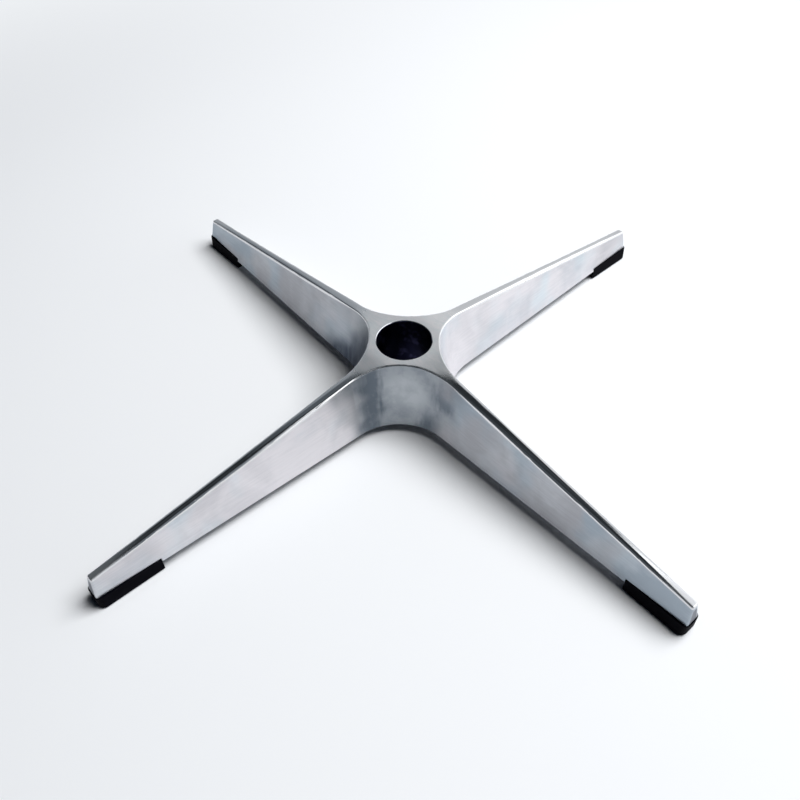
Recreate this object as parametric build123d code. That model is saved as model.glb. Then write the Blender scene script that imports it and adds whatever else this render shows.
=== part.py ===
from build123d import *
from math import radians, sqrt, tan
import os

# Swivel chair base: a die-cast four-star spider with a column socket at its
# centre, standing on four moulded glides that are screwed on from below.
# Millimetres, +Z up, origin on the floor under the socket's axis.
# The arms point along -Y (front), +X (right), +Y (back) and -X (left).

# Casting, outer form
hub_height = 75.0         # floor to the flat machined face round the socket
rim_height = 10.0         # floor to the casting's lower edge
tip_reach = 325.6         # axis to the arm's end at the lower edge
tip_height = 33.0         # floor to the arm's back at its end
root_width = 36.2         # arm width at the lower edge, carried back to the axis
tip_width = 15.2          # arm width at the lower edge, at its end
side_lean = 10.7          # lean of the side walls, degrees from upright
cove_radius = 52.5        # plan radius of the cove between two arms, lower edge
plateau_reach = 33.0      # axis to where the flat face turns down into the arm
plateau_blend = 80.0      # radius of that turn
arm_crown = 1.0           # rise of the arm's back above a straight line
hub_round = 1.6           # rounding of the back's edges round the socket
arm_round = 3.6           # the same, halfway along the arm
end_round = 1.6           # the same, at the arm's end
hub_reach = 80.0          # axis to where the rounding begins to change
tip_lean = 8.0            # backward lean of the end face, degrees
tip_round = 1.6           # rounding round the end face, above the lower edge
arm_sections = 5          # sections that shape the back from the hub to the arm's end

# Casting, underside
wall = 4.2                # side wall at the lower edge
roof = 6.0                # least metal above a pocket
pocket_ceiling = 2.4      # least width of a pocket at its ceiling
web = 3.2                 # thickness of the webs between pockets
web_draft = 2.0           # draft of the webs, degrees
web_recess = 3.0          # webs and socket end this far inside the lower edge
web_reaches = [62.0, 112.0, 161.0, 209.0, 257.0]   # axis to each web's middle
hub_pocket_depth = 50.0   # depth of the pocket round the socket
socket_wall = 8.5         # metal round the socket in that pocket
hub_rib = 3.0             # ribs that tie this metal to the walls and the first webs
hub_ribs = 8              # one along each arm and one to each cove

# Column socket
socket_diameter = 50.1    # straight lead-in for the column's 50 mm tube
land_length = 12.0        # length of the straight lead-in
column_taper = 1.4378     # half angle of the column's seat below it, degrees
socket_chamfer = 0.8      # broken edge at both mouths

# Glides
glide_length = 56.6       # along the arm
glide_height = 13.5       # floor to its seat on the casting
glide_tip_lip = 0.9       # its end stands this far past the casting's end
glide_side_lip = 0.3      # its sides stand past the casting's, at the inner end
glide_lean = 5.5          # outward lean of its sides below the seat, degrees
glide_corner = 4.8        # plan rounding of its two outer corners
glide_foot_round = 1.5    # rounding of its lower edge
glide_gap = 0.3           # gap between its inner end and the casting's step
sole_recess = 1.2         # depth of the shallow recess in the sole
sole_border = 3.0         # width of the border that stands on the floor
key_height = 3.0          # locating key that enters the casting's last pocket
key_gap = 0.4             # clearance round the key

# Screws, two in each glide
screw_from_tip = [14.5, 41.5]   # arm's end to each screw
screw_diameter = 3.9
screw_length = 16.0       # under the head
screw_point = 1.6         # length of its point
head_diameter = 7.6
head_height = 2.4
head_seat = 6.0           # floor to the underside of the head's rim
drive_width = 0.9         # cross recess
drive_span = 3.8
drive_depth = 1.2
boss_length = 9.5         # solid metal round each tapped hole, along the arm
hole_extra = 2.0          # tapped hole beyond the screw's end
screw_gap = 0.05          # radial play in the tapped hole
glide_hole_gap = 0.25     # radial play of the screw in the glide
head_gap = 0.3            # radial play round the head

lean = tan(radians(side_lean))
taper = (root_width - tip_width) / 2 / tip_reach
slant = sqrt(1 + taper * taper)
glide_end = tip_reach - (glide_height - rim_height) * tan(radians(tip_lean)) + glide_tip_lip
glide_start = glide_end - glide_length
step = glide_start - glide_gap
screws_at = [tip_reach - d for d in screw_from_tip]
margin = 10.0             # how far cutting shapes run past the metal


def half_width(u, z=rim_height):
    """Half the arm's width at u from the axis and z above the floor."""
    return root_width / 2 - taper * u - lean * (z - rim_height)


def on_arm(n, shape):
    """The shape turned from the right arm to arm n."""
    return Rot(0, 0, 90 * n) * shape


def star(inset, reach, radius):
    """Plan outline of four arms joined by coves, inset from the lower edge."""
    side = half_width(0) - inset * slant
    end = side - taper * reach
    arm = Polygon((0, -side), (reach, -end), (reach, end), (0, side), align=None)
    arms = arm
    for n in (1, 2, 3):
        arms += on_arm(n, arm)
    inner = [v for v in arms.vertices() if max(abs(v.X), abs(v.Y)) < reach / 2]
    return fillet(inner, radius)


def back_view():
    """Side view of the space below the backs of two opposite arms."""
    top = (plateau_reach, hub_height)
    low = (tip_reach, tip_height)
    middle = ((top[0] + low[0]) / 2, (top[1] + low[1]) / 2 + arm_crown)
    crown = ThreePointArc(top, middle, low)
    run = crown % 1
    past = (tip_reach + margin, tip_height + margin * run.Y / run.X)
    outline = Wire([
        crown, Line(low, past), Line(past, (past[0], 0)), Line((past[0], 0), (0, 0)),
        Line((0, 0), (0, hub_height)), Line((0, hub_height), top)])
    view = Face(outline)
    turn = view.vertices().sort_by_distance(Vector(*top, 0))[0]
    view = fillet(turn, plateau_blend)
    return view + mirror(view, Plane.YZ)


def back_height(u):
    """Height of the arm's back at u, taken on the straight line."""
    slope = (hub_height - tip_height) / (tip_reach - plateau_reach)
    return hub_height - slope * max(0.0, u - plateau_reach)


def arm_section(u):
    """Upright face across the right arm at u."""
    share = (u - hub_reach) / (tip_reach - hub_reach)
    bow = 4 * arm_round - 3 * hub_round - end_round
    r = hub_round + bow * share - (bow + hub_round - end_round) * share * share
    rise = 4 * arm_crown * (u - plateau_reach) * (tip_reach - u) / (tip_reach - plateau_reach)**2
    top = back_height(u) + rise
    low, high = half_width(u), half_width(u, top)
    face = Polygon((-low, rim_height), (low, rim_height), (high, top), (-high, top), align=None)
    face = fillet(face.vertices().group_by(Axis.Y)[-1], r)
    return (Plane(origin=(u, 0, 0), x_dir=(0, 1, 0), z_dir=(1, 0, 0)) * face).face()


def casting_blank():
    """Outer form of the spider before the socket and the underside are cut."""
    form = extrude(star(0, tip_reach + margin, cove_radius),
                   hub_height - rim_height + margin, taper=side_lean)
    form = Pos(0, 0, rim_height) * form
    space = Plane.XZ * back_view()
    space = extrude(space, amount=tip_reach + 2 * margin, both=True)
    form = form & space & (Rot(0, 0, 90) * space)
    form = form & Box(2 * hub_reach, 2 * hub_reach, 3 * hub_height)
    loop = [e for e in form.edges()
            if (e @ 0.5).Z > rim_height + 1 and abs((e % 0.5).Z) < 0.5
            and min(abs((e @ 0.5).X), abs((e @ 0.5).Y)) > 1]
    form = fillet(loop, hub_round)
    # the arm goes on from the cut face, its rounding growing and fading again
    cap = form.faces().sort_by(Axis.X)[-1]
    span = tip_reach + tip_round - hub_reach
    tip = loft([cap] + [arm_section(hub_reach + span * (i + 1) / arm_sections)
                        for i in range(arm_sections)])
    slope = Plane(origin=(tip_reach, 0, rim_height), x_dir=(0, 1, 0),
                  z_dir=(1, 0, tan(radians(tip_lean))))
    tip = split(tip, bisect_by=slope, keep=Keep.BOTTOM)
    frame = [e for e in tip.edges() if abs(slope.to_local_coords(e @ 0.5).Z) < 1e-4
             and (e @ 0.5).Z > rim_height + 1]
    tip = fillet(frame, tip_round)
    for n in range(4):
        form += on_arm(n, tip)
    return form


def ring_of(u, z, inset):
    """Half width of a pocket at u and z."""
    return half_width(u, z) - inset * slant


def block(lower, upper):
    """Solid between two four-cornered faces, lower and upper, counterclockwise."""
    sides = [[lower[i], lower[(i + 1) % 4], upper[(i + 1) % 4], upper[i]] for i in range(4)]
    faces = [Face(Wire.make_polygon([Vector(*p) for p in loop])) for loop in [lower, upper] + sides]
    return Solid(Shell(faces))


def arm_pocket(start, end, floor):
    """Space of one pocket in the right arm, narrowing upward like a core pulled down."""
    draft = tan(radians(web_draft))
    lower, upper = [], []
    for u, shift, signs in ((start, 1, (-1,)), (end, -1, (-1, 1)), (start, 1, (1,))):
        narrow = floor + (ring_of(u, floor, wall) - pocket_ceiling / 2) / lean
        top = min(narrow, back_height(u) - roof)
        v = u + shift * draft * (top - floor)
        for sign in signs:
            lower.append((u, sign * ring_of(u, floor, wall), floor))
            upper.append((v, sign * ring_of(v, top, wall), top))
    return block(lower, upper)


def underside():
    """Everything that is hollow below the backs and round the socket."""
    floor = rim_height + web_recess
    recess = Pos(0, 0, rim_height) * extrude(
        star(wall, step + margin, cove_radius + wall), web_recess, taper=side_lean)
    inset = wall + web_recess * lean / slant
    edge = web_reaches[0] - web / 2
    hub = extrude(star(inset, tip_reach / 2, cove_radius + inset) & Rectangle(2 * edge, 2 * edge),
                  hub_pocket_depth, taper=side_lean)
    post = Cone(socket_diameter / 2 + socket_wall,
                socket_diameter / 2 + socket_wall + hub_pocket_depth * tan(radians(web_draft)),
                hub_pocket_depth, align=(Align.CENTER, Align.CENTER, Align.MIN))
    hub -= post
    for n in range(hub_ribs):
        hub -= Rot(0, 0, 360 / hub_ribs * n) * extrude(
            Pos(edge, 0) * Rectangle(2 * edge, hub_rib), hub_pocket_depth, taper=-web_draft)
    hollow = Part() + recess + Pos(0, 0, floor) * hub
    cells = [(a + web / 2, b - web / 2) for a, b in zip(web_reaches, web_reaches[1:])]
    inner, outer = sorted(screws_at)
    cells.append((web_reaches[-1] + web / 2, inner - boss_length / 2))
    cells.append((inner + boss_length / 2, outer - boss_length / 2))
    for n in range(4):
        for start, end in cells:
            hollow += on_arm(n, arm_pocket(start, end, floor))
    return hollow


def socket():
    """The column's socket: a straight lead-in above a slow taper, open below."""
    r = socket_diameter / 2
    seat_length = hub_height - land_length - rim_height - web_recess
    low = r - seat_length * tan(radians(column_taper))
    c = socket_chamfer
    foot = rim_height + web_recess
    profile = Polygon(
        (0, hub_height + c), (r + 2 * c, hub_height + c), (r, hub_height - c),
        (r, hub_height - land_length), (low, foot + c), (low + 2 * c, foot - c), (0, foot - c),
        align=None)
    return revolve(Plane.XZ * profile, Axis.Z)


def glide_seat():
    """Cut that makes the casting's end stand on the glide, right arm."""
    return Pos(step, 0, 0) * Box(tip_reach, root_width, 2 * glide_height,
                                 align=(Align.MIN, Align.CENTER, Align.CENTER))


def tapped_hole(u):
    depth = head_seat + screw_length + hole_extra
    return Pos(u, 0, 0) * Cylinder(screw_diameter / 2 + screw_gap, depth,
                                   align=(Align.CENTER, Align.CENTER, Align.MIN))


def base_casting():
    body = casting_blank() - underside() - socket()
    for n in range(4):
        body -= on_arm(n, glide_seat())
        for u in screws_at:
            body -= on_arm(n, tapped_hole(u))
    return body


def glide_outline(half, end_round):
    """Plan outline of a glide: square inner end, rounded outer corners."""
    plan = Polygon((glide_start, -half), (glide_end, -half), (glide_end, half),
                   (glide_start, half), align=None)
    return fillet(plan.vertices().group_by(Axis.X)[-1], end_round)


def glide():
    """One glide, on the right arm."""
    seat_half = half_width(glide_start, glide_height) + glide_side_lip
    spread = glide_height * tan(radians(glide_lean))
    foot_half = seat_half + spread
    body = loft([glide_outline(foot_half, glide_corner + spread).face(),
                 (Pos(0, 0, glide_height) * glide_outline(seat_half, glide_corner)).face()], ruled=True)
    body = fillet(body.edges().group_by(Axis.Z)[0], glide_foot_round)
    # the sole stands on a border round a shallow recess
    rim = glide_foot_round + sole_border
    length, width = glide_length - 2 * rim, 2 * (foot_half - rim)
    body -= Pos((glide_start + glide_end) / 2, 0, 0) * extrude(
        RectangleRounded(length, width, width / 4), sole_recess)
    # locating key in the pocket between the two screws
    inner, outer = sorted(screws_at)
    a, b = inner + boss_length / 2 + key_gap, outer - boss_length / 2 - key_gap
    key_top = glide_height + key_height
    key_half = ring_of(b, key_top, wall) - key_gap
    key = Pos(a, 0, key_top) * Box(b - a, 2 * key_half, key_height + glide_height / 4,
                                   align=(Align.MIN, Align.CENTER, Align.MAX))
    body += chamfer(key.edges().group_by(Axis.Z)[-1], key_height / 4)
    for u in screws_at:
        body -= Pos(u, 0, 0) * Cylinder(screw_diameter / 2 + glide_hole_gap, 4 * glide_height)
        body -= Pos(u, 0, 0) * Cylinder(head_diameter / 2 + head_gap, 2 * head_seat)
    return body


def screw():
    """One screw, head down, its axis on Z."""
    r, h = screw_diameter / 2, head_diameter / 2
    seat, end = head_seat, head_seat + screw_length
    profile = Polygon(
        (0, seat - head_height), (h * 0.7, seat - head_height), (h, seat - head_height / 2),
        (h, seat), (r, seat), (r, end - screw_point), (r * 0.35, end), (0, end), align=None)
    body = revolve(Plane.XZ * profile, Axis.Z)
    cross = Rectangle(drive_span, drive_width) + Rectangle(drive_width, drive_span)
    return body - Pos(0, 0, seat - head_height) * extrude(cross, drive_depth, taper=4)


names = ["right_glide", "back_glide", "left_glide", "front_glide"]
parts = {"base_casting": base_casting()}
shoe, fixing = glide(), screw()
for n, name in enumerate(names):
    parts[name] = on_arm(n, shoe)
parts["glide_screws"] = Compound(children=[
    on_arm(n, Pos(u, 0, 0) * fixing).solid() for n in range(4) for u in screws_at])

os.makedirs("parts", exist_ok=True)
for name, shape in parts.items():
    print(name, len(shape.solids()), round(shape.volume, 1), shape.is_valid)
    export_step(shape, "parts/" + name + ".step")
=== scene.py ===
# %% [markdown]
# A swivel chair base: four polished cast arms that flow into a flat hub, with
# a round socket for the chair's column and a black glide under each arm's end.
# The solids come first, as a fixed frame in metres, and everything else in
# this lesson is built round them: camera, floor, light, finishes and screws.

# %% Load the frame
from math import cos, pi, radians, sin, tan

import bpy
from mathutils import Matrix, Vector


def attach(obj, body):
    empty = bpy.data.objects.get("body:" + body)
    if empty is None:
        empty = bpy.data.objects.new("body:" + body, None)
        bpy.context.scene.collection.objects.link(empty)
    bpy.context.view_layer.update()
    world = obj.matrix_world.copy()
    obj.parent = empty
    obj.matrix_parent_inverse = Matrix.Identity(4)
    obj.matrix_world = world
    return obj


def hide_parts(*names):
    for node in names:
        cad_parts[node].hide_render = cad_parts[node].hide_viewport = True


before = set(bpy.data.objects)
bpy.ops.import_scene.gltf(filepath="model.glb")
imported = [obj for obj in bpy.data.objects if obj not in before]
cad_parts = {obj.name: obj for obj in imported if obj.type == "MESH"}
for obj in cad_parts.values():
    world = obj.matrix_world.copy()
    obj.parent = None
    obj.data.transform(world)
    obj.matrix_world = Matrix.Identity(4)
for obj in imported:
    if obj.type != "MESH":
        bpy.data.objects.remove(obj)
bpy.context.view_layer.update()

bpy.ops.object.select_all(action="DESELECT")
print("nodes:", ", ".join(sorted(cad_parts)))

# %% Colours as they are written
scene = bpy.context.scene
scene.view_settings.view_transform = "Standard"
print("view transform:", scene.view_settings.view_transform)

# %% [markdown]
# The camera. The base was photographed from above its front right corner,
# between two arms. A camera needs a place, a direction, a roll and a focal
# length, and the easiest way to keep them readable is to write the place as
# an azimuth, an elevation and a distance from a point under the hub.

# %% Place the camera
azimuth, elevation, roll = radians(48.561), radians(46.646), radians(-0.604)
distance = 0.781206
target = Vector((0.003344, -0.000584, 0.030))
back = Vector((sin(azimuth) * cos(elevation), -cos(azimuth) * cos(elevation), sin(elevation)))
right = Vector((0, 0, 1)).cross(back).normalized()
up = back.cross(right)
right, up = right * cos(roll) + up * sin(roll), up * cos(roll) - right * sin(roll)
bpy.ops.object.camera_add()
camera = bpy.context.object
camera.name = "camera"
camera.matrix_world = Matrix.Translation(target + back * distance) @ Matrix(
    (right, up, back)).transposed().to_4x4()
scene.camera = camera
print("camera at", [round(v, 3) for v in camera.location])

# %% Match the framing, measured in pixels of a square picture
picture_side = 800
focal_length = 834.695
middle_across, middle_down = 406.482, 376.453
camera.data.sensor_width = 36
camera.data.lens = focal_length * 36 / picture_side
camera.data.shift_x = (picture_side / 2 - middle_across) / picture_side
camera.data.shift_y = (middle_down - picture_side / 2) / picture_side
print("lens", round(camera.data.lens, 2), "mm")

# %% [markdown]
# Shader maths. A finish is easier to read as a line of arithmetic than as a
# list of nodes. This small class wraps a node's output, so that an expression
# such as 1 - mask adds its Math nodes by itself. Colours and vectors go
# through Mix and Mapping nodes, which keep their three channels.

# %% A field that varies over a surface
class Field:
    """One output of a node, with the arithmetic that numbers have."""

    def __init__(self, tree, socket=None):
        self.tree, self.socket = tree, socket

    def node(self, kind, output=0, settings=None, **inputs):
        """Adds a node, sets its settings, then fills or links its sockets."""
        made = self.tree.nodes.new(kind)
        for name, value in (settings or {}).items():
            if name == "stops":
                ramp = made.color_ramp
                while len(ramp.elements) < len(value):
                    ramp.elements.new(0.5)
                for element, (place, colour) in zip(ramp.elements, value):
                    element.position, element.color = place, (*colour, 1)
            else:
                setattr(made, name, value)
        for name, value in inputs.items():
            place = next(s for s in made.inputs
                         if name in (s.identifier, s.name.replace(" ", "_")))
            if isinstance(value, Field):
                self.tree.links.new(value.socket, place)
            else:
                place.default_value = value
        return Field(self.tree, made.outputs[output])

    def math(self, operation, a, b=0.0):
        """Arithmetic on two numbers, as a Math node."""
        return self.node("ShaderNodeMath", settings={"operation": operation},
                         Value=a, Value_001=b)

    def __add__(self, other): return self.math("ADD", self, other)
    def __radd__(self, other): return self.math("ADD", other, self)
    def __sub__(self, other): return self.math("SUBTRACT", self, other)
    def __rsub__(self, other): return self.math("SUBTRACT", other, self)
    def __mul__(self, other): return self.math("MULTIPLY", self, other)
    def __rmul__(self, other): return self.math("MULTIPLY", other, self)
    def __truediv__(self, other): return self.math("DIVIDE", self, other)
    def __pow__(self, other): return self.math("POWER", self, other)
    def __abs__(self): return self.math("ABSOLUTE", self)
    def larger(self, other): return self.math("MAXIMUM", self, other)
    def smaller(self, other): return self.math("MINIMUM", self, other)

    def rise(self, low, high, first=0.0, last=1.0):
        """Goes smoothly from first to last as this value passes low to high."""
        return self.node("ShaderNodeMapRange", settings={"interpolation_type": "SMOOTHSTEP"},
                         Value=self, From_Min=low, From_Max=high, To_Min=first, To_Max=last)

    def fall(self, low, high):
        """Goes smoothly from 1 to 0 as this value passes low to high."""
        return 1 - self.rise(low, high)

    def axes(self):
        """The three numbers of a vector."""
        made = self.node("ShaderNodeSeparateXYZ", Vector=self)
        return [Field(self.tree, s) for s in made.socket.node.outputs]

    def colour(self, a, b):
        """Colour a where this value is 0, b where it is 1."""
        return self.node("ShaderNodeMix", output=2, settings={"data_type": "RGBA"},
                         Factor_Float=self,
                         A_Color=a if isinstance(a, Field) else (*a, 1),
                         B_Color=b if isinstance(b, Field) else (*b, 1))

    def scaled(self, stretch):
        """This vector, stretched along each axis."""
        return self.node("ShaderNodeMapping", Vector=self, Scale=stretch)

    def noise(self, size, detail=3.0, roughness=0.5, distortion=0.0):
        """Noise on this vector whose blotches are about size across, in its unit."""
        return self.node("ShaderNodeTexNoise", Vector=self, Scale=1 / size, Detail=detail,
                         Roughness=roughness, Distortion=distortion)


print("fields ready")

# %% A new material
millimetre = 0.001


def new_material(name):
    """A material with a Principled shader: it, the shader and the object's coordinates."""
    material = bpy.data.materials.new(name)
    material.use_nodes = True
    tree = material.node_tree
    shader = next(n for n in tree.nodes if n.type == "BSDF_PRINCIPLED")
    return material, shader, Field(tree).node("ShaderNodeTexCoord", output="Object")


def feed(shader, **values):
    """Fills or links the shader's sockets, named with underscores."""
    for name, value in values.items():
        place = shader.inputs[name.replace("_", " ")]
        if isinstance(value, Field):
            value.tree.links.new(value.socket, place)
        else:
            place.default_value = value


def bumpy(place, relief):
    """Surface relief given in millimetres, for a shader's Normal."""
    return place.node("ShaderNodeBump", Height=relief, Strength=1.0, Distance=millimetre)


print("materials can be made")

# %% [markdown]
# The stage. The base stands on a plain pale floor, which only has to keep the
# soft shadow of the arms. From the side its far edge would show as a grey
# horizon, so the world behind it is white to the camera, and the floor glows
# in the same white from a metre out, to the camera and in the metal.

# %% Floor
white_light = (0.95, 0.975, 1.0)
floor_span, floor_drop = 12, 0.0002
glow_starts, glow_full = 0.65, 1.5
bpy.ops.mesh.primitive_plane_add(size=floor_span, location=(0, 0, -floor_drop))
floor = bpy.context.object
floor.name = "floor"
material, shader, place = new_material("floor_white")
feed(shader, Base_Color=(0.88, 0.90, 0.93, 1), Roughness=1.0, Specular_IOR_Level=0.0)
floor.data.materials.append(material)
print("floor", [round(v, 2) for v in floor.dimensions])

# %% The floor's far glow
across, deep, _ = place.axes()
far = ((across * across + deep * deep) ** 0.5).rise(glow_starts, glow_full)
sight = place.node("ShaderNodeLightPath", output="Is Camera Ray")
mirror = place.node("ShaderNodeLightPath", output="Is Glossy Ray")
glow = place.node("ShaderNodeEmission", Color=(*white_light, 1), Strength=1.0)
floor_look = place.node("ShaderNodeMixShader", Fac=far * sight.larger(mirror),
                        Shader=Field(place.tree, shader.outputs[0]), Shader_001=glow)
output = next(n for n in place.tree.nodes if n.type == "OUTPUT_MATERIAL")
place.tree.links.new(floor_look.socket, output.inputs["Surface"])
print("glow from", glow_starts, "to", glow_full, "m out")

# %% [markdown]
# The light. Polished metal shows its surroundings, so the room matters more
# than the lamp. Round the base there are pale walls at the back and the right,
# greyer ones on the left and behind the camera, a tall bright window at the
# back right, and a dark ceiling. Sheets set round the base would show their
# edges in the metal, so the room is a gradient in the world instead: a
# brightness for each compass angle and height, both in degrees.

# %% Compass angle and height
world = bpy.data.worlds.new("room")
scene.world = world
world.use_nodes = True
tree = world.node_tree
east, north, upward = Field(tree).node("ShaderNodeTexCoord", output="Generated").axes()
compass = east.math("ARCTAN2", east, north) * (180 / pi)
height = upward.math("ARCSINE", upward) * (180 / pi)
turn = compass / 360 + 0.5
print("0 degrees is +Y, 90 degrees is +X")

# %% Walls and ceiling, as pairs of a compass angle and a brightness
wall_levels = [(-180, 0.10), (-142, 0.08), (-112, 0.08), (-96, 0.26), (-66, 0.36),
               (-57, 0.42), (-45, 0.66), (-34, 0.67), (0, 0.85), (76, 0.9),
               (86, 0.22), (135, 0.06), (180, 0.10)]
ceiling_levels = [(-180, 0.04), (-125, 0.06), (-110, 0.05), (-97, 0.02), (-88, 0.03),
                  (-80, 0.12), (-70, 0.12), (-45, 0.04), (-20, 0.03), (-4, 0.06),
                  (40, 0.02), (180, 0.04)]


def brightness(levels):
    """Brightness by compass angle, read between the levels."""
    return turn.node("ShaderNodeValToRGB", Fac=turn, settings={
        "stops": [(angle / 360 + 0.5, (level,) * 3) for angle, level in levels]})


walls, ceiling = brightness(wall_levels), brightness(ceiling_levels)
overhead = height.rise(48.5, 52)
print(len(wall_levels), "levels round the walls")

# %% Window, high panel and the pale strip along the floor
window_level, panel_level, strip_level = 1.8, 0.88, 0.65
window = compass.rise(0, 7) * compass.fall(78, 82) * height.fall(62.5, 64.5)
panel = compass.rise(-80, -60) * compass.fall(-34, -20) * height.rise(34, 38)
strip = height.fall(6, 14) * compass.rise(-140, -125) * compass.fall(84, 94)
room = walls.larger(panel * panel_level) * (1 - overhead) + ceiling * overhead
room = room.larger(window * window_level).larger(strip * strip_level)
print("room ready")

# %% [markdown]
# The world has three parts to play: plain white where the camera sees it, the
# room in the metal, and next to nothing on matt surfaces, which the lamp
# lights. That small rest of it is blue, as shadows by daylight are.

# %% White to the camera, the room to everything else
share_on_matt = 0.06
seen = Field(tree).node("ShaderNodeLightPath", output="Is Camera Ray")
matt = Field(tree).node("ShaderNodeLightPath", output="Is Diffuse Ray")
strength = seen + (1 - seen) * room * (1 - (1 - share_on_matt) * matt)
tint = strength.rise(0.02, 0.8).colour((0.76, 0.88, 1.0), white_light)
tint = matt.colour(tint, (0.30, 0.60, 1.0))
background = tree.nodes["Background"]
tree.links.new(strength.socket, background.inputs["Strength"])
tree.links.new(tint.socket, background.inputs["Color"])
print("world ready")

# %% [markdown]
# One lamp gives the soft shadow: a big square one, high at the back right. It
# is left out of reflections, where the window already stands for it.

# %% Lamp
lamp_side, lamp_power, lamp_distance = 1.95, 117.0, 3.0
lamp_compass, lamp_height = radians(27), radians(61.5)
aim = Vector((0, 0, 0.03))
out = Vector((cos(lamp_height) * sin(lamp_compass), cos(lamp_height) * cos(lamp_compass),
              sin(lamp_height)))
bpy.ops.object.light_add(type="AREA", location=aim + out * lamp_distance)
lamp = bpy.context.object
lamp.name = "key_lamp"
lamp.data.size, lamp.data.energy, lamp.data.color = lamp_side, lamp_power, (1.0, 0.995, 0.985)
lamp.rotation_euler = (-out).to_track_quat("-Z", "Y").to_euler()
lamp.visible_glossy = False
print(lamp.name, [round(v, 2) for v in lamp.location])

# %% [markdown]
# The casting's metal. Aluminium die castings are shot, ground and brought to a
# shine on a buffing wheel, so one piece has several finishes: mirror-like backs
# and sides with a slightly wavy, clouded gloss, a satin-ground face round the
# socket, a bored socket painted near-black navy as painted shade, and matt skin as it
# left the mould in the pockets underneath, painted deeper as painted shade. Each
# could be a material of its own on picked faces, but then their borders would be hard, so one
# material finds each area by its place, in millimetres.

# %% Places on the casting
material, shader, place = new_material("cast_metal")
x, y, z = place.scaled((1000, 1000, 1000)).axes()
reach, side = abs(x).larger(abs(y)), abs(x).smaller(abs(y))
radius = (x * x + y * y) ** 0.5
along = place.node("ShaderNodeCombineXYZ", X=reach * 0.04, Y=side, Z=z)
print("an arm's own axes: along, across, up")

# %% The casting's outer walls
lean = tan(radians(10.7))
half_width, narrowing, wall_foot = 18.1, 10.5 / 325.6, 10
cove_radius = 52.5
cove_middle = (half_width + cove_radius) / (1 + narrowing)
leaning = lean * (z - wall_foot)
arm_wall = half_width - narrowing * reach - leaning - side
from_middle = ((reach - cove_middle) * (reach - cove_middle)
               + (side - cove_middle) * (side - cove_middle)) ** 0.5
cove_wall = from_middle - cove_radius - leaning
hub_part = reach.fall(cove_middle - 0.5, cove_middle + 0.5)
depth = arm_wall * (1 - hub_part) + cove_wall * hub_part
print("cove centre", round(cove_middle, 1), "mm out on both axes")

# %% The casting's backs and hub face
hub_height, back_height, back_slope = 75.0, 79.7, 0.1435
below_back = (back_height - back_slope * reach).smaller(hub_height) - z
print("backs from", hub_height, "mm down to", round(back_height - back_slope * 326, 1), "mm")

# %% Areas with another finish
bored = radius.fall(25.2, 25.5)
ground = z.rise(69.5, 74.0) * radius.rise(25.5, 25.8) * below_back.fall(0.15, 0.6)
raw = depth.rise(1.5, 2.5) * below_back.rise(4.5, 5.5)
walls_only = (below_back - 0.3 - radius.rise(60, 120) * 1.4).rise(0, 1.2)
print("bored socket, ground face, raw skin and side walls found")

# %% [markdown]
# The polish. A buffing wheel leaves clouds where it lingered and faint streaks
# along the arm. Noise on the plain coordinates gives the clouds, and noise on
# the arm's own axes, drawn out along it, gives the streaks. The sides turned to
# the right and the back are painted brighter and warmer, as painted light, and
# the other two are painted deeper, as painted shade.

# %% Noises that the finishes share
clouds = place.noise(0.040, 3.0, 0.55, 0.4)
streaks = along.noise(1.2, 4.0, 0.6)
fine = along.noise(0.25, 2.0)
grind = place.noise(0.0011, 3.0, 0.7)
lines = place.scaled((120, 1600, 120)).noise(1.0, 2.0)
print("clouds, streaks, fine waves, ground grain and grinding lines")

# %% Clouded finish, painted side light and painted shade on the walls and backs
# The deeper pair of colours is painted shade for the sides turned from the light; the pale
# pair is polish clouds and painted light.
dark_cool, dark_warm = (0.328, 0.376, 0.426), (0.366, 0.370, 0.395)
pale_cool, pale_warm = (0.70, 0.75, 0.785), (0.775, 0.75, 0.77)
back_silver = (0.78, 0.78, 0.79)
# This mask picks the walls facing right and back, which are painted brighter as painted light;
# the others get painted shade.
arm_along_y = (abs(y) - abs(x)).rise(-cove_radius, cove_radius)
painted_lit_side = arm_along_y * x.rise(-6, 6) + (1 - arm_along_y) * y.rise(-6, 6)
side_light_and_clouds = (painted_lit_side * 0.64 + clouds.rise(0.30, 0.70) * 0.34
          - reach.rise(200, 320) * 0.12 + (streaks.rise(0.35, 0.65) - 0.5) * 0.12)
shade = place.noise(0.060, 2.0).rise(0.42, 0.58).colour(dark_cool, dark_warm)
# Random hue, plus painted warmth on the lit sides.
hue_and_painted_warmth = (place.noise(0.045, 2.0) + painted_lit_side * 0.20).rise(0.45, 0.75)
polish_and_painted_shade = side_light_and_clouds.colour(shade, hue_and_painted_warmth.colour(pale_cool, pale_warm))
polish_and_painted_shade = walls_only.colour(back_silver, polish_and_painted_shade)
print("walls and backs")

# %% [markdown]
# The coves. Where two arms meet, the metal is painted darker as painted shade,
# in smudges with upright brush strokes. The cove between the front and right
# arms has them on both sides of its middle and at the right arm's root, and the
# one between the left and front arms has painted shade at its foot. Each is a
# soft distance from a place on the casting, ruffled by two noises.

# %% Front cove
def from_spot(px, py, pz):
    """Distance from a point on the casting, in millimetres."""
    return ((x - px) * (x - px) + (y - py) * (y - py) + (z - pz) * (z - pz)) ** 0.5


brush = place.scaled((1, 1, 0.10)).noise(0.004, 2.0) - 0.5
soft = place.noise(0.030, 1.0) - 0.5
to_right = abs(x) - abs(y)
front_half = y.rise(-12, 12, 1, 0)
# How far the painted shade reaches into the front cove, measured from the hub.
cove_shade_reach = radius + soft * 60 + to_right.rise(20, 60) * 14
painted_cove_shade = cove_shade_reach.fall(62, 100) * walls_only * front_half
corner = abs(to_right) + soft * 26 + brush * 16
print("how far the wheel reached into the front cove")
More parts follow.
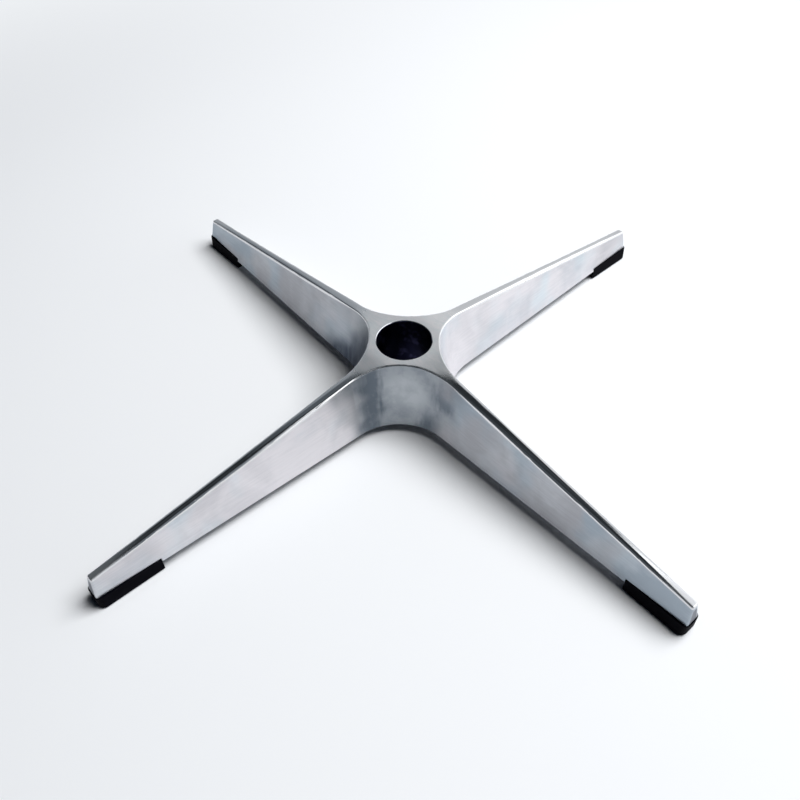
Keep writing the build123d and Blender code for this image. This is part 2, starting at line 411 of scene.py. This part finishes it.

# %% Painted shade smudges in the front cove
# Both colours are painted shade, the metal of the front cove painted darker in smudges and
# random mottling.
cove_shade_pale, cove_shade_deep = (0.425, 0.45, 0.475), (0.14, 0.165, 0.195)
sides = corner.rise(20, 36) * corner.fall(44, 62) * (1 - to_right.rise(-8, 8) * z.rise(18, 38))
shade_smudge = (from_spot(61, -10, 52) + brush * 12 + soft * 14).fall(2, 19)
middle = (from_spot(28, -24, 47) + soft * 16).rise(8, 27)
mottle = place.noise(0.017, 4.0, 0.62).rise(0.40, 0.66)
cove_shade_depth = middle * 0.34 + sides * (0.52 + brush * 0.4) + shade_smudge * 0.7 + mottle * 0.26
polish_and_painted_shade = painted_cove_shade.colour(polish_and_painted_shade, cove_shade_depth.smaller(1).colour(cove_shade_pale, cove_shade_deep))
print("front cove")

# %% Left cove, with painted shade at its foot
# Painted shade: the foot of the left cove is painted navy, deepest near the hub.
painted_cove_shade_blue = (0.065, 0.082, 0.118)
foot = z + reach * 0.75 + soft * 34 + brush * 6
painted_foot_shade = foot.fall(74, 104) * (radius + soft * 30).fall(88, 128)
painted_foot_shade = painted_foot_shade * walls_only * front_half * x.rise(-12, 12, 1, 0)
polish_and_painted_shade = (painted_foot_shade * (0.9 + brush * 0.8)).colour(polish_and_painted_shade, painted_cove_shade_blue)
print("left cove")

# %% [markdown]
# One tone and one gloss. The masks now lay the finishes over each other: the
# polish first, then the ground face, the raw skin and the bored socket. The
# arms' ends, where shoes rest, are scuffed duller than the rest of the backs.

# %% Tone of the whole casting
rubs = place.scaled((1, 2.2, 1)).noise(0.016, 4.0, 0.65).rise(0.36, 0.64)
face_tone = grind.rise(0.3, 0.7) * 0.22 + lines.rise(0.35, 0.65) * 0.24 + rubs * 0.54
face_tone = face_tone.colour((0.81, 0.84, 0.85), (1.0, 0.97, 0.97))
# The socket is painted near-black navy as painted shade, with paler blue blotches as painted
# reflections.
socket_reflection_blotches = place.noise(0.012, 2.0).rise(0.5, 0.7)
painted_socket_shade = socket_reflection_blotches.colour((0.014, 0.015, 0.042), (0.09, 0.09, 0.20))
tone = ground.colour(polish_and_painted_shade, face_tone)
# Real as-cast skin, whose grey is made deeper than bare skin as painted shade under the
# casting.
tone = raw.colour(tone, (0.27, 0.28, 0.31))
tone = bored.colour(tone, painted_socket_shade)
print("tone ready")

# %% Gloss of the whole casting
raw_gloss, bored_gloss = 0.62, 0.30
scuffed = reach.rise(262, 322) * (1 - walls_only)
gloss = (0.05 + clouds * 0.04 + walls_only * (0.26 + clouds * 0.10)
         + streaks * 0.02 + scuffed * 0.34)
gloss = gloss * (1 - ground) + (0.33 + grind * 0.10 + rubs * 0.06) * ground
gloss = gloss * (1 - raw) + raw_gloss * raw
gloss = gloss * (1 - bored) + bored_gloss * bored
print("gloss ready")

# %% [markdown]
# The relief. Buffed backs are never quite flat: they are crowned where they
# leave the hub, and slightly wavy, and that bends the reflections along them.
# The waves are far too shallow for the solid, so they are bump in the material.

# %% Crowned backs, waves and scratches, in millimetres
flat = side.smaller(5)
crown = flat * flat * (-1 / 64) * radius.rise(44, 72) * radius.fall(110, 180)
waves = place.noise(0.045, 1.0)
relief = (waves * 0.3 + crown + streaks * 0.012 + fine * 0.002
          + (grind * 0.006 + lines * 0.006) * ground)
feed(shader, Metallic=1.0, Base_Color=tone, Roughness=gloss, Normal=bumpy(place, relief))
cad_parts["base_casting"].material_slots[0].material = material
print(material.name)

# %% [markdown]
# The glides are moulded in black plastic. The mould was spark-eroded, so the
# plastic has a fine matt grain, and its foot is worn smoother and greyer where
# it rubs on the floor. Grain and wear are both noise: one for height, one for
# where the wear has reached.

# %% Glides
new_black, worn_black = (0.0010, 0.0010, 0.0026), (0.0075, 0.0075, 0.0105)
material, shader, place = new_material("glide_black")
foot_height = place.axes()[2] * 1000
grain = place.noise(0.0007, 2.0)
rubbed = foot_height.fall(0.4, 2.2) * place.noise(0.006, 3.0, 0.6).rise(0.35, 0.65)
dusty = place.noise(0.009, 4.0, 0.65).rise(0.45, 0.8) * 0.5
feed(shader, Base_Color=(rubbed * 0.7 + dusty).smaller(1).colour(new_black, worn_black),
     Specular_IOR_Level=0.03, Roughness=0.58 + grain * 0.14 - rubbed * 0.16,
     Normal=bumpy(place, grain * 0.035 * (1 - rubbed * 0.7)))
for name in ("right_glide", "back_glide", "left_glide", "front_glide"):
    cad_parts[name].material_slots[0].material = material
print(material.name)

# %% [markdown]
# The screws. Two pan-head screws go up into each glide from below. On the real
# part they are rolled from zinc-plated wire: a domed head with a cross recess
# and a coarse thread for soft metal. The thread is drawn as one pitch of its
# profile and swept by a Screw modifier, which is easier to keep even than a
# ridge wound round a cylinder, and the head is a bevelled cylinder from which
# two tapered blades are cut.

# %% Screw sizes, in metres
root_radius, crest_radius, pitch = 0.00142, 0.00195, 0.0014
thread_start, thread_turns, thread_steps = 0.0038, 11, 20
thread_foot, screw_tip = 0.0055, 0.022
head_radius, head_height, head_seat = 0.0038, 0.0024, 0.006
blade_span, blade_width, blade_depth, blade_taper = 0.0038, 0.0009, 0.0012, 0.62
head_middle = head_seat - head_height / 2
head_under = head_seat - head_height
print("screw length", round((screw_tip - head_seat) * 1000, 1), "mm")

# %% Two helpers for edit mode
def select_where(test):
    """Selects the vertices of the object in edit mode that pass a test on their place."""
    bpy.ops.mesh.select_all(action="DESELECT")
    bpy.ops.object.mode_set(mode="OBJECT")
    for vertex in bpy.context.object.data.vertices:
        vertex.select = test(vertex.co)
    bpy.ops.object.mode_set(mode="EDIT")


def push(x=0.0, y=0.0, z=0.0):
    """Extrudes what is selected by a step."""
    bpy.ops.mesh.extrude_region_move(TRANSFORM_OT_translate={"value": (x, y, z)})


print("helpers ready")

# %% Thread
bpy.ops.mesh.primitive_plane_add(size=0.001, location=(0, 0, 0))
thread = bpy.context.object
bpy.ops.object.mode_set(mode="EDIT")
bpy.ops.mesh.merge(type="CENTER")
bpy.ops.transform.translate(value=(root_radius, 0, thread_start))
push(z=pitch * 0.34)
push(x=crest_radius - root_radius, z=pitch * 0.28)
push(z=pitch * 0.10)
push(x=root_radius - crest_radius, z=pitch * 0.28)
bpy.ops.object.mode_set(mode="OBJECT")
bpy.ops.object.modifier_add(type="SCREW")
turning = thread.modifiers[-1]
turning.screw_offset, turning.iterations = pitch, thread_turns
turning.steps, turning.render_steps = thread_steps, thread_steps
bpy.ops.object.modifier_apply(modifier=turning.name)
print("thread:", len(thread.data.polygons), "faces")

# %% Cut the thread flat inside the head, and draw it to a point at the tip
bpy.ops.object.mode_set(mode="EDIT")
bpy.ops.mesh.select_all(action="SELECT")
bpy.ops.mesh.remove_doubles(threshold=0.00002)
bpy.ops.mesh.bisect(plane_co=(0, 0, thread_foot), plane_no=(0, 0, 1), threshold=0.000001,
                    clear_inner=True, use_fill=True)
bpy.ops.mesh.select_all(action="DESELECT")
bpy.ops.mesh.select_non_manifold()
push()
bpy.ops.mesh.merge(type="CENTER")
bpy.ops.object.mode_set(mode="OBJECT")
for vertex in thread.data.vertices:
    if vertex.select:
        vertex.co = (0, 0, screw_tip)
bpy.ops.object.mode_set(mode="EDIT")
bpy.ops.mesh.select_all(action="SELECT")
bpy.ops.mesh.normals_make_consistent(inside=False)
bpy.ops.object.mode_set(mode="OBJECT")
heights = [vertex.co.z for vertex in thread.data.vertices]
print("thread from", round(min(heights), 4), "to", round(max(heights), 4))

# %% Head, domed below and eased at its seat
bpy.ops.mesh.primitive_cylinder_add(vertices=48, radius=head_radius, depth=head_height,
                                    location=(0, 0, head_middle))
bpy.ops.object.transform_apply(location=True)
head = bpy.context.object
bpy.ops.object.mode_set(mode="EDIT")
select_where(lambda p: p.z < head_middle)
bpy.ops.mesh.bevel(offset=0.0013, segments=6, profile=0.6)
select_where(lambda p: p.z > head_seat - 0.0001)
bpy.ops.mesh.bevel(offset=0.0002, segments=2)
bpy.ops.object.mode_set(mode="OBJECT")
print("plain head:", len(head.data.polygons), "faces")

# %% Cross recess
for spin in (0, pi / 2):
    bpy.ops.mesh.primitive_cube_add(size=1, location=(0, 0, head_under),
                                    scale=(blade_span, blade_width, blade_depth * 2))
    bpy.ops.transform.rotate(value=spin, orient_axis="Z", center_override=(0, 0, 0))
    bpy.ops.object.transform_apply(location=True, rotation=True, scale=True)
    blade = bpy.context.object
    bpy.ops.object.mode_set(mode="EDIT")
    select_where(lambda p: p.z > head_under)
    bpy.ops.transform.resize(value=(blade_taper, blade_taper, 1), center_override=(0, 0, 0))
    bpy.ops.object.mode_set(mode="OBJECT")
    bpy.ops.object.select_all(action="DESELECT")
    head.select_set(True)
    bpy.context.view_layer.objects.active = head
    bpy.ops.object.modifier_add(type="BOOLEAN")
    cut = head.modifiers[-1]
    cut.operation, cut.object, cut.solver = "DIFFERENCE", blade, "EXACT"
    bpy.ops.object.modifier_apply(modifier=cut.name)
    bpy.data.objects.remove(blade)
print("head:", len(head.data.polygons), "faces")

# %% One screw
bpy.ops.object.select_all(action="DESELECT")
thread.select_set(True)
head.select_set(True)
bpy.context.view_layer.objects.active = head
bpy.ops.object.join()
bpy.ops.object.shade_smooth_by_angle(angle=radians(32))
screw = bpy.context.object
print("one screw:", len(screw.data.polygons), "faces")

# %% [markdown]
# Zinc plating is a thin bright coat with a faint blue and yellow blush, and it
# dulls in tiny spots. On a head 8 mm wide both have to be small: the blush is
# about 2 mm across and the spots are half a millimetre.

# %% Zinc plating
zinc_blue, zinc_yellow, spot_grey = (0.50, 0.52, 0.56), (0.64, 0.63, 0.60), (0.42, 0.43, 0.46)
material, shader, place = new_material("screw_zinc")
blush = place.noise(0.0022, 3.0)
spots = place.noise(0.0006, 2.0).rise(0.45, 0.75)
zinc = blush.rise(0.35, 0.65).colour(zinc_blue, zinc_yellow)
feed(shader, Metallic=1.0, Base_Color=spots.colour(zinc, spot_grey),
     Roughness=0.24 + blush * 0.10 + spots * 0.14,
     Normal=bumpy(place, spots * 0.02 + place.noise(0.0003) * 0.01))
screw.data.materials.append(material)
print(material.name)

# %% [markdown]
# The screw is copied to its eight places, two to an arm. By hand each would
# stop at its own angle, so each copy is turned a little further than the last
# before it moves. Each has its own mesh, with its place in the mesh.

# %% Eight screws
screw_reaches = {"inner": 0.2841, "outer": 0.3111}
arms = {"right": (1, 0), "back": (0, 1), "left": (-1, 0), "front": (0, -1)}
turn_step = 37
turned = 0
for arm, (arm_x, arm_y) in arms.items():
    for place_name, screw_reach in screw_reaches.items():
        bpy.ops.object.select_all(action="DESELECT")
        screw.select_set(True)
        bpy.context.view_layer.objects.active = screw
        bpy.ops.object.duplicate()
        piece = bpy.context.object
        piece.name = f"{arm}_{place_name}_screw"
        turned += turn_step
        bpy.ops.transform.rotate(value=radians(turned), orient_axis="Z",
                                 center_override=(0, 0, 0))
        bpy.ops.transform.translate(value=(arm_x * screw_reach, arm_y * screw_reach, 0))
        bpy.ops.object.transform_apply(location=True, rotation=True, scale=True)
        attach(piece, "root")
        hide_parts("glide_screws")
bpy.data.objects.remove(screw)
